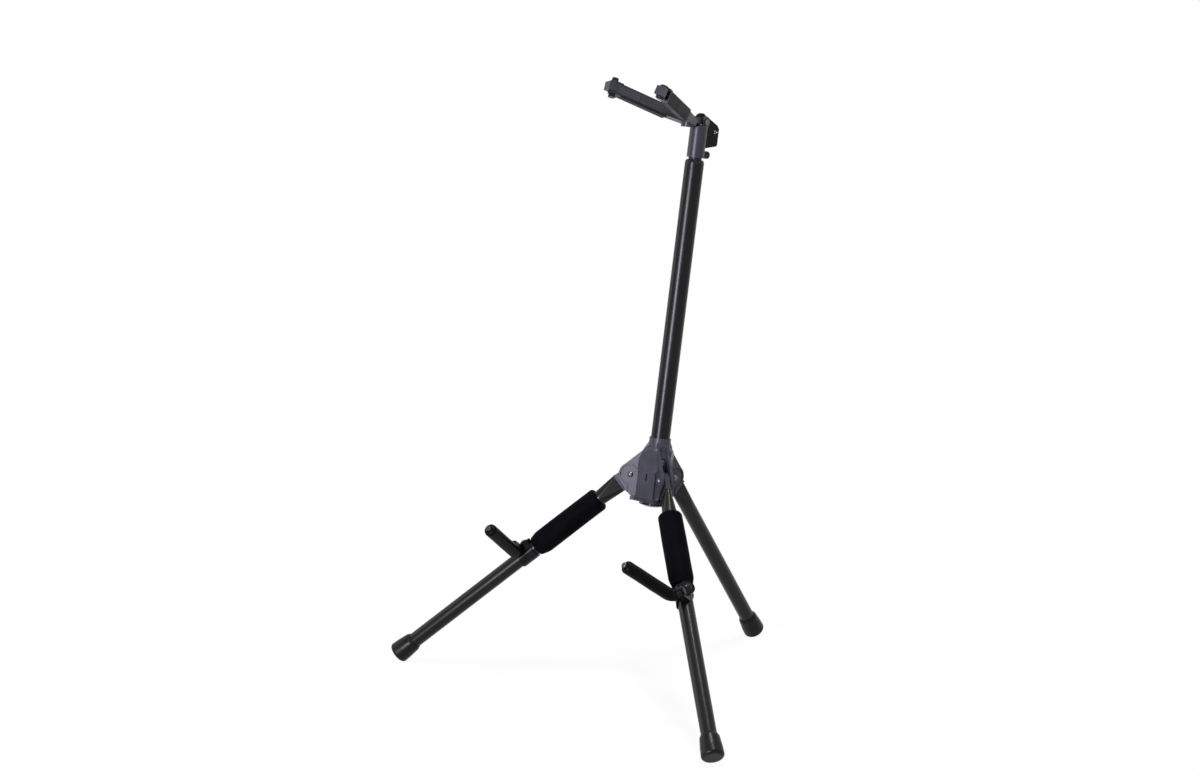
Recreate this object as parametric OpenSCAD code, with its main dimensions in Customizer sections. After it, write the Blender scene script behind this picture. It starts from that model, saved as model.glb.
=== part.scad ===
// Folding three-legged guitar stand with a leaning mast, two body hooks and a self-closing neck yoke.
// Front is -Y, the rear leg is +Y, and the floor is Z = 0. All sizes are in millimetres and degrees.
// Pieces on the mast are drawn in the mast's own frame: Z up the mast, Y backwards, zero at the leg pivots.

/* [Stance] */
// Height of the middle of the three leg pivots above the floor
hub_height = 298; // [240:1:340]
// Backward lean of the mast from upright
mast_lean = 9.5; // [0:0.5:15]
// Angle between each open leg and the mast's axis
leg_spread = 45; // [35:1:55]

/* [Mast] */
// Outer diameter of the mast tube
mast_d = 28; // [26:0.5:30]
// Wall of the mast tube
mast_wall = 1.5; // [1.2:0.1:2]
// Height of the mast tube's lower end above the leg pivots
mast_seat = 10; // [9:1:16]
// Length of the mast tube
mast_length = 451; // [420:1:500]
// Height of the rounded cap on top of the mast tube
cap_height = 5; // [3:0.5:8]
// Depth of the cap's bush inside the mast tube
bush_depth = 25; // [15:1:40]

/* [Inner tube] */
// Outer diameter of the sliding inner tube
inner_d = 19.4; // [16:0.2:20]
// Wall of the inner tube
inner_wall = 1.5; // [1:0.1:2]
// Length of the inner tube inside the mast at the lowest height
inner_hidden = 240; // [220:5:300]
// Travel of the height adjustment
height_travel = 150; // [100:5:160]
// Bare neck of inner tube between the cap and the head's collar
neck_gap = 3; // [2:0.5:12]
// Height of the grip plug at the foot of the inner tube
plug_height = 32; // [20:1:50]
// Wall of the grip plug round the inner tube's end
plug_floor = 6; // [4:1:10]

/* [Hub] */
// Distance of each leg pivot from the mast's axis
pivot_radius = 36.3; // [35:0.1:40]
// Radius of the rounded boss round each leg pivot
boss_r = 17.3; // [16:0.1:19]
// Clear gap between the two cheeks that hold a leg
cheek_gap = 11; // [10.5:0.1:12]
// Thickness of each cheek
cheek_wall = 3.5; // [3:0.1:4.5]
// Top of the hub's collar above the leg pivots
collar_top = 58.7; // [55:0.1:70]
// Outer radius of the hub's collar
collar_r = 15.9; // [15.5:0.1:18]
// Distance of the three flat panels from the mast's axis
panel_reach = 21; // [20.5:0.1:22]
// Depth of the hub's body below the leg pivots
hub_depth = 32; // [30:0.5:38]
// Distance of the back wall of each leg slot from the mast's axis
slot_back = 22; // [21.5:0.1:22.4]
// Radius of the hollow that holds the leg lock
lock_hollow_r = 17.2; // [16.5:0.1:17.4]
// Depth of the shallow round recess in each cheek
recess_depth = 0.8; // [0.4:0.1:1.2]
// Radius of the shallow round recess in each cheek
recess_r = 14.6; // [12:0.1:15]
// Thickness of the base plate under the hub
base_thick = 4.5; // [3:0.1:6]
// How far the base plate stands out past the hub's body
base_lip = 1.6; // [0:0.1:2.5]
// Width of the red window in the front panel
window_w = 3; // [2:0.5:5]
// Height of the red window in the front panel
window_h = 10.4; // [8:0.2:12]

/* [Leg lock] */
// Radius of the push button where it passes through the base plate
button_r = 14.4; // [10:0.1:15]
// Radius of the push button's domed head
button_head_r = 19.6; // [16:0.1:21]
// How far the button's dome stands below the base plate
button_drop = 7.8; // [6:0.1:10]
// Travel of the push button
button_travel = 2; // [1:0.5:2.5]
// Width of each locking finger
finger_w = 6; // [4:0.5:8]
// Height of each locking finger
finger_h = 6; // [4:0.5:6]
// Wire of the lock's coil spring
lock_wire = 1.4; // [1:0.1:2]

/* [Legs] */
// Outer diameter of the leg tubes
leg_d = 22.4; // [20:0.1:22.8]
// Wall of the leg tubes
leg_wall = 1.5; // [1.2:0.1:2]
// Width of a leg tube's flattened end
flat_w = 27; // [24:0.5:27.6]
// Thickness of a leg tube's flattened end
flat_t = 7.4; // [7:0.1:8]
// Distance from the pivot at which a leg tube begins
flat_start = 23; // [22:0.5:26]
// Distance from the pivot at which a leg tube is fully round
round_start = 59; // [50:1:60]
// Thickness of the moulded tongue at the pivot
tongue_t = 7; // [6:0.1:8]
// Radius of the tongue's rounded tail
tongue_r = 13; // [11:0.1:13.5]
// Shaft radius of the leg rivets
rivet_r = 3; // [2.5:0.1:4]
// Head radius of the leg rivets
rivet_head_r = 4.3; // [3.5:0.1:6]

/* [Feet] */
// Diameter of a rubber foot at its lower end
foot_d = 32.4; // [28:0.1:36]
// Diameter of a rubber foot at its mouth
foot_mouth_d = 26.4; // [25:0.1:30]
// Length of a rubber foot
foot_length = 35; // [25:1:45]
// Thickness of rubber under the end of the tube
foot_floor = 6; // [4:0.5:10]
// Rounding of a foot's lower edge
foot_edge = 4.5; // [2:0.5:6]
// Depth of the flat worn on each foot where it meets the floor
foot_flat = 0.7; // [0.5:0.1:1]

/* [Foam sleeves] */
// Outer diameter of the foam sleeves
foam_d = 36; // [30:0.5:38]
// Distance of a foam sleeve from the leg's pivot
foam_start = 61; // [60:1:70]
// Length of a foam sleeve
foam_length = 121; // [90:1:124]
// Length of the drawn-in lower end of a foam sleeve
foam_taper = 13; // [6:1:20]

/* [Body hooks] */
// Gap between the foam sleeve and the clamp
clamp_gap = 4; // [3:0.5:10]
// Length of the clamp on the leg
clamp_length = 28; // [26:1:36]
// Wall of the clamp round the leg
clamp_wall = 2.4; // [2:0.1:4]
// Distance of the hook's root from the clamp's upper end
hook_root_at = 19.9; // [19.5:0.1:21]
// Smallest gap between the clamp and the hook's rubber
hook_gap = 0.2; // [0.2:0.1:3]
// Sideways distance of the hook's bend from the leg's axis
hook_side = 7.2; // [6.4:0.1:12]
// Centre radius of the hook's bend
hook_bend = 12; // [11:0.5:13]
// Radius of the hook's steel rod
hook_rod_r = 4; // [3:0.1:5]
// Outer diameter of the rubber on the hook
hook_rubber_d = 19.4; // [16:0.2:21]
// Distance from the hook's bend to the end of its rubber
hook_reach = 97; // [70:1:110]
// How far the rod's bare end stands out of the rubber
hook_nub = 4; // [2:0.5:8]
// Upward tilt of the hook towards the hub
hook_tilt = 7.6; // [0:0.2:15]
// Inward lean of the hook
hook_lean = 9.1; // [0:0.1:12]
// Outer radius of the housing round the hook's root
housing_r = 8; // [6.5:0.1:9]
// Length of the housing round the hook's root
housing_length = 8.1; // [6:0.1:12]
// Turn of the clamp's bolt about the leg
bolt_turn = -50; // [-60:1:-45]
// Radius of the round boss under the bolt's head
bolt_boss_r = 11; // [8:0.1:11.5]
// Radius of the domed bolt head
dome_r = 7; // [6:0.5:8]
// Height of the domed bolt head
dome_h = 3; // [2:0.5:5]

/* [Yoke head] */
// Outer radius of the head's collar
head_r = 12.7; // [12.4:0.1:15]
// Height of the head's collar
head_height = 47; // [41:1:60]
// Distance of the yoke's pivot behind the mast's axis
tilt_back = 6; // [4:0.5:8]
// Height of the yoke's pivot above the head's collar
tilt_rise = 5; // [5:0.5:8]
// Radius of the yoke's pivot pin
tilt_pin_r = 3; // [2.5:0.1:3.5]
// Thickness of each ear on the head
head_ear_t = 3; // [2.5:0.5:4]
// Thickness of the rear lever plate
lever_t = 4; // [3:0.5:4]
// How far the lever plate reaches behind the mast's axis
lever_reach = 43.4; // [36:0.2:50]
// Radius of the thumb screw's knob
knob_r = 5.6; // [4.5:0.1:7]
// How far the thumb screw's knob stands out from the collar
knob_out = 14; // [10:0.5:18]

/* [Yoke arms] */
// Length of a yoke arm from the fork's root to its tip
arm_length = 144; // [120:1:170]
// Angle of each arm out from straight ahead
arm_splay = 18.5; // [14:0.5:24]
// Upward angle of each arm from square to the mast
arm_rise = 14.5; // [5:0.5:25]
// Turn of each arm about its own length, so that its inner face looks upwards
arm_roll = 12; // [0:1:20]
// Width of a padded arm
arm_w = 15; // [15:0.5:20]
// Height of a padded arm
arm_h = 18.8; // [17:0.2:22]
// Distance of an arm's rubber from the fork's root
pad_start = 40; // [36:1:60]
// Thickness of the rubber on an arm
arm_rubber = 2.5; // [2:0.1:2.6]
// Distance of the gate's pin from the arm's tip
gate_pin_back = 10.7; // [9:0.1:13]
// Length of a gate from its pin to its free end
gate_length = 43; // [30:1:44]
// Thickness of a gate's blade
gate_t = 4.6; // [4:0.1:5]
// Radius of the gate's pin
gate_pin_r = 2; // [1.5:0.1:2.5]
// Width of a gate's thumb tab
tab_w = 13.5; // [10:0.5:13.5]
// Radius of the pull rod inside an arm
pull_rod_r = 1.4; // [1:0.1:1.5]

/* [Fits] */
// Radial clearance of a turning or sliding fit
running = 0.05; // [0.02:0.01:0.08]
// Gap between pieces that move past each other
clear = 0.3; // [0.3:0.05:0.4]

/* [Hidden] */
$fn = 96;
hull_fn = 32;
over = 1;
room = 400;
front_turn = -30;
rear_turn = 90;
wing_turns = [-30, 90, 210];
cheek_outer = cheek_gap / 2 + cheek_wall;
leg_r = leg_d / 2;
mast_r = mast_d / 2;
mast_bore_r = mast_r - mast_wall;
mast_top = mast_seat + mast_length;
inner_r = inner_d / 2;

// Outline of a hub wing, as distance from the mast's axis and height above the pivots
boss_in = boss_r - 0.4;
boss_top = [pivot_radius + boss_in * cos(45), boss_in * sin(45)];
boss_low = [pivot_radius + boss_in * cos(25), -boss_in * sin(25)];
wing_heel = [pivot_radius + 4.2, -24.5];
wing_toe = 31;
shoulder_top = 50;
shoulder = [panel_reach + 1.5, 37.5];

// Leg frame: Z runs down the leg from its pivot, Y along the pivot's axis, X towards the floor
tongue_flange = 2;
tongue_flange_w = flat_w + 0.6;
tongue_flange_t = 9;
tongue_tab_t = flat_t - 2 * leg_wall;
tongue_tab_w = flat_w - 7;
tongue_tab_length = 18;
washer_t = (cheek_gap - tongue_t) / 2;
washer_r = 8;

// Slope and height of a leg's pivot in the room's frame
front_pivot_drop = pivot_radius * sin(front_turn) * sin(mast_lean);
rear_pivot_drop = pivot_radius * sin(rear_turn) * sin(mast_lean);
front_fall = cos(leg_spread) * cos(mast_lean) + sin(leg_spread) * sin(front_turn) * sin(mast_lean);
rear_fall = cos(leg_spread) * cos(mast_lean) + sin(leg_spread) * sin(rear_turn) * sin(mast_lean);
foot_ring = foot_d / 2 - foot_edge;
function leg_reach(drop, fall) = foot_edge
    + (hub_height - drop - foot_ring * sqrt(1 - fall * fall) - foot_edge + foot_flat) / fall;
front_length = leg_reach(front_pivot_drop, front_fall);
rear_length = leg_reach(rear_pivot_drop, rear_fall);

// Forward and backward reach of the feet, which set the origin under the middle of the stand
front_run = sin(leg_spread) * sin(front_turn) * cos(mast_lean) - cos(leg_spread) * sin(mast_lean);
rear_run = sin(leg_spread) * sin(rear_turn) * cos(mast_lean) - cos(leg_spread) * sin(mast_lean);
front_edge = pivot_radius * sin(front_turn) * cos(mast_lean) + front_run * (front_length - foot_edge)
    - foot_ring * sqrt(1 - front_run * front_run) - foot_edge;
rear_edge = pivot_radius * cos(mast_lean) + rear_run * (rear_length - foot_edge)
    + foot_ring * sqrt(1 - rear_run * rear_run) + foot_edge;
stance_shift = -(front_edge + rear_edge) / 2;

// Clamp frame: X out of the plane of the two front legs, Y towards the other leg, Z down the leg
hook_turn = -(180 - atan(sqrt(3) * cos(leg_spread)));
clamp_start = foam_start + foam_length + clamp_gap;
clamp_r = leg_r + clamp_wall;
bolt_r = 3;
bolt_at = clamp_start + 8;
bolt_seat = clamp_r + 3.4;
hook_root = clamp_start + hook_root_at;
hook_out = clamp_r + hook_rubber_d / 2 + hook_gap;
bend_angle = 90 - hook_lean;
bend_reach = hook_bend * tan(bend_angle / 2);
bend_low = hook_side - bend_reach;
housing_high = bend_low - clear;
housing_low = housing_high - housing_length;
hook_cap_r = 5.5;
hook_cap_seat = 1.2;
seam = 0.1;

// Head, in the mast's frame
head_base = mast_top + cap_height + neck_gap;
head_top = head_base + head_height;
head_floor = 4;
inner_low = mast_top - inner_hidden;
tilt_at = head_top + tilt_rise;
tongue_half = 5;
head_ear_in = tongue_half + clear;
head_ear_r = 8;
knob_at = head_base + 5.5;
knob_screw_r = 2.2;
lever_dome_r = 12.4;
lever_hole = [lever_reach - 6, tilt_at - 12.2];
lever_hole_r = 3.5;
spring_wire_r = 0.9;
spring_x = -(lever_t / 2 + spring_wire_r);

// Fork and arms
fork_root = [5.8, -19.6, tilt_at - 2.6];
fork_block = [0, -26, tilt_at - 10];
fork_block_r = 9.5;
fork_block_h = 17;
core_w = arm_w - arm_rubber;
core_h = arm_h - 2 * arm_rubber;
gate_pin_x = arm_length - gate_pin_back;
lug_r = 6.5;
gate_pin_y = -arm_w / 2 + lug_r;
gate_h = 12.4;
gate_back = gate_t - arm_w / 2 + clear + 0.1;
knuckle_r = 6.2;
knuckle_room = knuckle_r + 2.2;
lug_start = gate_pin_x - 12;
neck_h = 9;
neck_length = pad_start - 3;
pull_rod_y = 2.4;
pull_rod_start = 16;
pull_rod_travel = 6;

// Frames

module on_mast() {
    translate([0, stance_shift, hub_height]) rotate([-mast_lean, 0, 0]) children();
}

module on_leg(turn) {
    on_mast() rotate([0, 0, turn]) translate([pivot_radius, 0, 0]) rotate([0, 180 - leg_spread, 0]) children();
}

module left_side() {
    mirror([1, 0, 0]) children();
}

module on_clamp() {
    on_leg(front_turn) rotate([0, 0, hook_turn]) children();
}

module on_hook() {
    on_clamp() translate([hook_out, 0, hook_root]) rotate([0, hook_tilt, 0]) children();
}

module on_arm() {
    on_mast() translate(fork_root) rotate([-arm_roll, -arm_rise, arm_splay - 90]) children();
}

// A pin or bore along Y, centred on the origin
module across(r, length) {
    rotate([90, 0, 0]) cylinder(r = r, h = length, center = true);
}

// A pin or bore along X, centred on the origin
module sideways(r, length) {
    rotate([0, 90, 0]) cylinder(r = r, h = length, center = true);
}

module ring(outer, inner, height) {
    difference() {
        cylinder(r = outer, h = height);
        translate([0, 0, -over]) cylinder(r = inner, h = height + 2 * over);
    }
}

// Hub

module wing_outline() {
    polygon([
        [0, -hub_depth], [wing_toe, -hub_depth], wing_heel, boss_low,
        [pivot_radius, 0], boss_top, shoulder, [collar_r - 1, shoulder_top + 1.8], [0, shoulder_top + 1.8]
    ]);
    translate([pivot_radius, 0]) circle(r = boss_r);
}

module wing_slab(thickness) {
    rotate([90, 0, 0]) linear_extrude(thickness, center = true) wing_outline();
}

// Outline with three flat panels at reach from the axis, and corners half_w beside each wing's middle
function panel_corner(reach, half_w) = 2 * reach - sqrt(3) * half_w;
function turned(u, v, turn) = [u * cos(turn) - v * sin(turn), u * sin(turn) + v * cos(turn)];

module panel_outline(reach, half_w, length) {
    u = panel_corner(reach, half_w);
    polygon([
        for (turn = wing_turns) each [
            turned(u, -half_w, turn), turned(length, -half_w, turn),
            turned(length, half_w, turn), turned(u, half_w, turn)
        ]
    ]);
}

module hub_body() {
    cylinder(r = collar_r, h = collar_top);
    for (turn = wing_turns) rotate([0, 0, turn]) wing_slab(2 * cheek_outer);
    // Core between the wings, with a steep roof
    core_half = cheek_outer - 1.1;
    intersection() {
        translate([0, 0, -hub_depth]) linear_extrude(hub_depth + collar_top)
            panel_outline(panel_reach, core_half, panel_corner(panel_reach, core_half) + 0.5);
        rotate_extrude() polygon([
            [0, -hub_depth - over], [40, -hub_depth - over], [40, shoulder_top - 57],
            [panel_reach + 0.5, shoulder_top - 9], [collar_r - 1, shoulder_top - 2.5], [0, shoulder_top - 2.5]
        ]);
    }
}

// The slot reaches in to the collar above the mast's screw
module leg_slot() {
    slot_end = slot_back + pivot_radius + boss_r;
    slot_top = shoulder_top - 3;
    rotate([90, 0, 0]) linear_extrude(cheek_gap, center = true) polygon([
        [slot_back, -hub_depth - over], [slot_end, -hub_depth - over], [slot_end, slot_top],
        [collar_r + 0.3, slot_top], [collar_r + 0.3, slot_top - 7], [slot_back, slot_top - 16]
    ]);
}

module cheek_recess(side) {
    groove_w = 1.3;
    groove_depth = recess_depth + 0.9;
    translate([pivot_radius, side * cheek_outer, 0]) {
        across(recess_r, 2 * recess_depth);
        intersection() {
            rotate([90, 0, 0]) translate([0, 0, -groove_depth])
                ring(recess_r, recess_r - groove_w, 2 * groove_depth);
            translate([-2 * recess_r, -2 * recess_r, -2]) cube(4 * recess_r);
        }
    }
    translate([pivot_radius - recess_r + 0.5, side * cheek_outer - recess_depth, 2 - hub_depth])
        cube([recess_r + 1, 2 * recess_depth, hub_depth - 2]);
}

module hub_shell() {
    color([0.20, 0.20, 0.24]) on_mast() difference() {
        hub_body();
        translate([0, 0, mast_seat]) cylinder(r = mast_r, h = room);
        translate([0, 0, -hub_depth - over]) cylinder(r = lock_hollow_r, h = hub_depth + lock_ceiling + over);
        for (turn = wing_turns) rotate([0, 0, turn]) {
            leg_slot();
            translate([pivot_radius, 0, 0]) across(rivet_r, 3 * cheek_outer);
            for (side = [-1, 1]) cheek_recess(side);
            translate([0, -finger_w / 2 - clear, finger_low - clear])
                cube([slot_back + over, finger_w + 2 * clear, finger_h + button_travel + 2 * clear]);
            translate([0, 0, mast_screw_at]) rotate([0, 90, 0]) cylinder(r = mast_screw_r, h = slot_back);
            translate([slot_back - mast_screw_head, 0, mast_screw_at]) rotate([0, 90, 0])
                cylinder(r = 2 * mast_screw_r, h = room);
            translate([base_screw_out, 0, -hub_depth - over])
                cylinder(r = base_screw_r, h = base_screw_depth + over);
        }
        translate([-window_w / 2, -panel_reach - over, -window_h / 2])
            cube([window_w, panel_reach, window_h]);
    }
}

base_screw_r = 1.3;
base_screw_out = (slot_back + lock_hollow_r) / 2;
base_screw_depth = 9;
base_screw_head_r = 2.4;
base_screw_head = 1.5;
mast_screw_r = 2;
mast_screw_at = 24.6;
mast_screw_head = 2;

module hub_base_plate() {
    color([0.17, 0.17, 0.20]) on_mast() translate([0, 0, -hub_depth - base_thick]) difference() {
        linear_extrude(base_thick)
            panel_outline(panel_reach + base_lip, cheek_outer + base_lip, wing_toe + base_lip);
        translate([0, 0, -over]) cylinder(r = button_r + clear, h = base_thick + 2 * over);
        for (turn = wing_turns) rotate([0, 0, turn]) {
            translate([slot_back + 1.5, -cheek_gap / 2, -over]) cube([room, cheek_gap, base_thick + 2 * over]);
            translate([base_screw_out, 0, -over]) cylinder(r = base_screw_r, h = base_thick + 2 * over);
            translate([base_screw_out, 0, -over]) cylinder(r = base_screw_head_r, h = base_screw_head + over);
        }
    }
}

module base_screws() {
    color([0.35, 0.35, 0.36]) on_mast() for (turn = wing_turns)
        rotate([0, 0, turn]) translate([base_screw_out, 0, -hub_depth - base_thick]) difference() {
            union() {
                cylinder(r = base_screw_head_r, h = base_screw_head);
                cylinder(r = base_screw_r, h = base_thick + base_screw_depth);
            }
            translate([0, 0, -over]) cylinder(r = base_screw_r, h = over + 0.8, $fn = 6);
        }
}

module leg_rivets() {
    cheek_face = cheek_outer - recess_depth;
    color([0.30, 0.30, 0.32]) on_mast() for (turn = wing_turns)
        rotate([0, 0, turn]) translate([pivot_radius, 0, 0]) {
            across(rivet_r, 2 * cheek_face);
            for (side = [-1, 1]) rotate([-90 * side, 0, 0]) translate([0, 0, cheek_face]) rivet_head();
        }
}

module rivet_head() {
    head_h = 2.6;
    ball_r = (rivet_head_r * rivet_head_r + head_h * head_h) / (2 * head_h);
    intersection() {
        cylinder(r = rivet_head_r, h = head_h);
        translate([0, 0, head_h - ball_r]) sphere(r = ball_r);
    }
}

module pivot_washers() {
    color([0.82, 0.81, 0.76]) on_mast() for (turn = wing_turns, side = [-1, 1])
        rotate([0, 0, turn]) translate([pivot_radius, side * (cheek_gap - washer_t) / 2, 0])
            rotate([90, 0, 0]) translate([0, 0, -washer_t / 2]) ring(washer_r, rivet_r, washer_t);
}

module mast_tube() {
    color([0.05, 0.05, 0.06]) on_mast() difference() {
        translate([0, 0, mast_seat]) ring(mast_r, mast_bore_r, mast_length);
        for (turn = wing_turns) rotate([0, 0, turn])
            translate([mast_r, 0, mast_screw_at]) sideways(mast_screw_r, mast_d / 2);
    }
}

module mast_screws() {
    inner_end = mast_bore_r - 1.5;
    seat = slot_back - mast_screw_head;
    color([0.35, 0.35, 0.36]) on_mast() for (turn = wing_turns)
        rotate([0, 0, turn]) translate([inner_end, 0, mast_screw_at]) rotate([0, 90, 0]) difference() {
            union() {
                cylinder(r = mast_screw_r, h = seat - inner_end);
                translate([0, 0, seat - inner_end]) cylinder(r = 2 * mast_screw_r, h = mast_screw_head);
            }
            translate([0, 0, seat - inner_end + 1]) cylinder(r = mast_screw_r, h = mast_screw_head, $fn = 6);
        }
}

module mast_cap_bush() {
    lip = inner_r + running + 0.8;
    color([0.05, 0.05, 0.06]) on_mast() translate([0, 0, mast_top]) rotate_extrude() polygon(concat(
        [[inner_r + running, -bush_depth], [mast_bore_r, -bush_depth], [mast_bore_r, 0], [mast_r, 0]],
        [for (a = [0 : 15 : 90]) [lip + (mast_r - lip) * cos(a), 0.6 + (cap_height - 0.6) * sin(a)]],
        [[inner_r + running, cap_height]]
    ));
}

// Leg lock

lock_ceiling = mast_seat - 3;
finger_low = -4;
slider_low = -10;
slider_floor = 4;
slider_r = lock_hollow_r - 0.6;
slider_wall = 5;
stem_r = 4;
flange_h = 2;
spring_r = 8.5;

module lock_button() {
    head_gap = button_travel + 2 * clear;
    rim = 1;
    cap = button_drop - head_gap - rim;
    dome_ball = (button_head_r * button_head_r + cap * cap) / (2 * cap);
    color([0.07, 0.07, 0.08]) on_mast() {
        translate([0, 0, -hub_depth]) cylinder(r = slider_r, h = flange_h);
        translate([0, 0, -hub_depth - base_thick - head_gap]) cylinder(r = button_r, h = base_thick + head_gap);
        translate([0, 0, -hub_depth - base_thick - head_gap - rim]) cylinder(r = button_head_r, h = rim);
        intersection() {
            translate([0, 0, -hub_depth - base_thick - button_drop]) cylinder(r = button_head_r, h = cap);
            translate([0, 0, -hub_depth - base_thick - button_drop + dome_ball]) sphere(r = dome_ball);
        }
        translate([0, 0, -hub_depth]) cylinder(r = stem_r, h = hub_depth + slider_low);
    }
}

module lock_slider() {
    reach = pivot_radius - tongue_r - 0.5;
    slider_top = finger_low + finger_h;
    flag_top = lock_ceiling - button_travel - clear;
    color([0.70, 0.06, 0.07]) on_mast() {
        translate([0, 0, slider_low]) rotate_extrude() polygon([
            [0, 0], [slider_r, 0], [slider_r, slider_top - slider_low],
            [slider_r - slider_wall, slider_top - slider_low], [slider_r - slider_wall, slider_floor],
            [0, slider_floor]
        ]);
        for (turn = wing_turns) rotate([0, 0, turn])
            translate([slider_r - slider_wall + 1, -finger_w / 2, finger_low])
                cube([reach - slider_r + slider_wall - 1, finger_w, slider_top - finger_low - 0.5]);
        // Red flag behind the window in the front panel
        intersection() {
            translate([-5, -slider_r, slider_low + 1]) cube([10, slider_r, flag_top - slider_low - 1]);
            ring(slider_r - 0.3, slider_r - slider_wall + 0.4, flag_top);
        }
    }
}

module lock_spring() {
    low = slider_low + slider_floor;
    color([0.62, 0.62, 0.64]) on_mast() translate([0, 0, low])
        ring(spring_r, spring_r - lock_wire, lock_ceiling - low);
}

// Legs

module leg_tongue() {
    color([0.16, 0.16, 0.19]) difference() {
        union() {
            across(tongue_r, tongue_t);
            translate([-tongue_r, -tongue_t / 2, 0])
                cube([2 * tongue_r, tongue_t, flat_start - tongue_flange]);
            translate([-tongue_flange_w / 2, -tongue_flange_t / 2, flat_start - tongue_flange])
                cube([tongue_flange_w, tongue_flange_t, tongue_flange]);
            translate([-tongue_tab_w / 2, -tongue_tab_t / 2, flat_start])
                cube([tongue_tab_w, tongue_tab_t, tongue_tab_length]);
        }
        across(rivet_r + running, 2 * tongue_t);
    }
}

module leg_tube(length) {
    tube_end = length - foot_floor;
    half = (flat_w - flat_t) / 2;
    color([0.13, 0.13, 0.14]) difference() {
        union() {
            hull() {
                for (side = [-1, 1]) translate([side * half, 0, flat_start])
                    cylinder(r = flat_t / 2, h = 3, $fn = hull_fn);
                translate([0, 0, round_start - 1]) cylinder(r = leg_r, h = 1, $fn = 2 * hull_fn);
            }
            translate([0, 0, round_start]) cylinder(r = leg_r, h = tube_end - round_start);
        }
        translate([0, 0, round_start]) cylinder(r = leg_r - leg_wall, h = length);
        translate([-tongue_tab_w / 2, -tongue_tab_t / 2, flat_start - over])
            cube([tongue_tab_w, tongue_tab_t, tongue_tab_length + over]);
    }
}

module bolted_leg_tube(length) {
    difference() {
        leg_tube(length);
        rotate([0, 0, hook_turn + bolt_turn]) translate([0, 0, bolt_at]) sideways(bolt_r, 2 * leg_d);
    }
}

module leg_foot(length) {
    color([0.04, 0.04, 0.04]) translate([0, 0, length]) mirror([0, 0, 1]) rotate_extrude() polygon(concat(
        [[0, 0]],
        [for (a = [-90 : 15 : 0]) [foot_ring + foot_edge * cos(a), foot_edge + foot_edge * sin(a)]],
        [[foot_d / 2 - 0.6, foot_length * 0.45], [foot_mouth_d / 2 + 0.8, foot_length - 4]],
        [[foot_mouth_d / 2, foot_length - 2.5], [foot_mouth_d / 2 - 1, foot_length], [leg_r, foot_length]],
        [[leg_r, foot_floor], [0, foot_floor]]
    ));
}

module above_floor() {
    difference() {
        children();
        translate([-2 * room, -2 * room, -room]) cube([4 * room, 4 * room, room]);
    }
}

module foam_sleeve() {
    nose = 4;
    tail_r = leg_r + 3;
    color([0.03, 0.03, 0.03]) translate([0, 0, foam_start]) rotate_extrude() polygon(concat(
        [[leg_r, 0]],
        [for (a = [-90 : 15 : 0]) [foam_d / 2 - nose + nose * cos(a), nose + nose * sin(a)]],
        [[foam_d / 2, foam_length - foam_taper], [tail_r + 1.2, foam_length - 2], [tail_r, foam_length]],
        [[leg_r, foam_length]]
    ));
}

// Body hooks

module hook_clamp() {
    web_start = 6;
    color([0.06, 0.06, 0.065]) on_clamp() difference() {
        union() {
            // Sleeve, cut on the slant where the folded hook passes
            difference() {
                translate([0, 0, clamp_start]) cylinder(r = clamp_r, h = clamp_length);
                translate([0, 0, hook_root - 0.4]) rotate([32, 0, 0]) translate([-room / 2, -room / 2, 0])
                    cube(room);
            }
            // Housing of the hook's root, and its web
            translate([hook_out, housing_high, hook_root]) rotate([90, 0, 0])
                cylinder(r = housing_r, h = housing_length);
            translate([web_start, housing_low, hook_root - housing_r])
                cube([hook_out - web_start, housing_length, 2 * housing_r]);
            on_bolt(0) cylinder(r = bolt_boss_r, h = bolt_seat);
        }
        cylinder(r = leg_r, h = room);
        translate([hook_out, 0, hook_root]) across(hook_rod_r + running, room);
        on_bolt(-room / 2) cylinder(r = bolt_r, h = room);
        on_bolt(bolt_seat) cylinder(r = dome_r + clear, h = room);
    }
}

// Z outwards along the clamp's bolt, from out beside the leg's axis
module on_bolt(out) {
    rotate([0, 0, bolt_turn]) translate([out, 0, bolt_at]) rotate([0, 90, 0]) children();
}

module clamp_bolt() {
    ball_r = (dome_r * dome_r + dome_h * dome_h) / (2 * dome_h);
    color([0.10, 0.10, 0.11]) on_clamp() {
        on_bolt(-clamp_r) cylinder(r = bolt_r, h = clamp_r + bolt_seat);
        on_bolt(bolt_seat) intersection() {
            cylinder(r = dome_r, h = dome_h);
            translate([0, 0, dome_h - ball_r]) sphere(r = ball_r);
        }
    }
}

// Push-on cap that keeps the hook's root in its housing
module hook_cap() {
    color([0.06, 0.06, 0.065]) on_hook() translate([0, housing_low - clear, 0]) rotate([90, 0, 0])
        rotate_extrude() polygon([
            [hook_rod_r, 0], [hook_cap_r, 0], [hook_cap_r, 1.4], [hook_cap_r - 0.6, 2], [0, 2],
            [0, hook_cap_seat], [hook_rod_r, hook_cap_seat]
        ]);
}

// X along the hook's straight part, from the corner that its root and its straight part point to
module on_straight() {
    translate([0, hook_side, 0]) rotate([0, 0, hook_lean]) children();
}

// The hook's bend, made slightly slimmer than the straight parts, which reach into it by the seam
module hook_bend_bar(r) {
    translate([hook_bend, bend_low, 0]) rotate([0, 0, 90 + hook_lean])
        rotate_extrude(angle = bend_angle) translate([hook_bend, 0]) circle(r = r);
}

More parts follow.
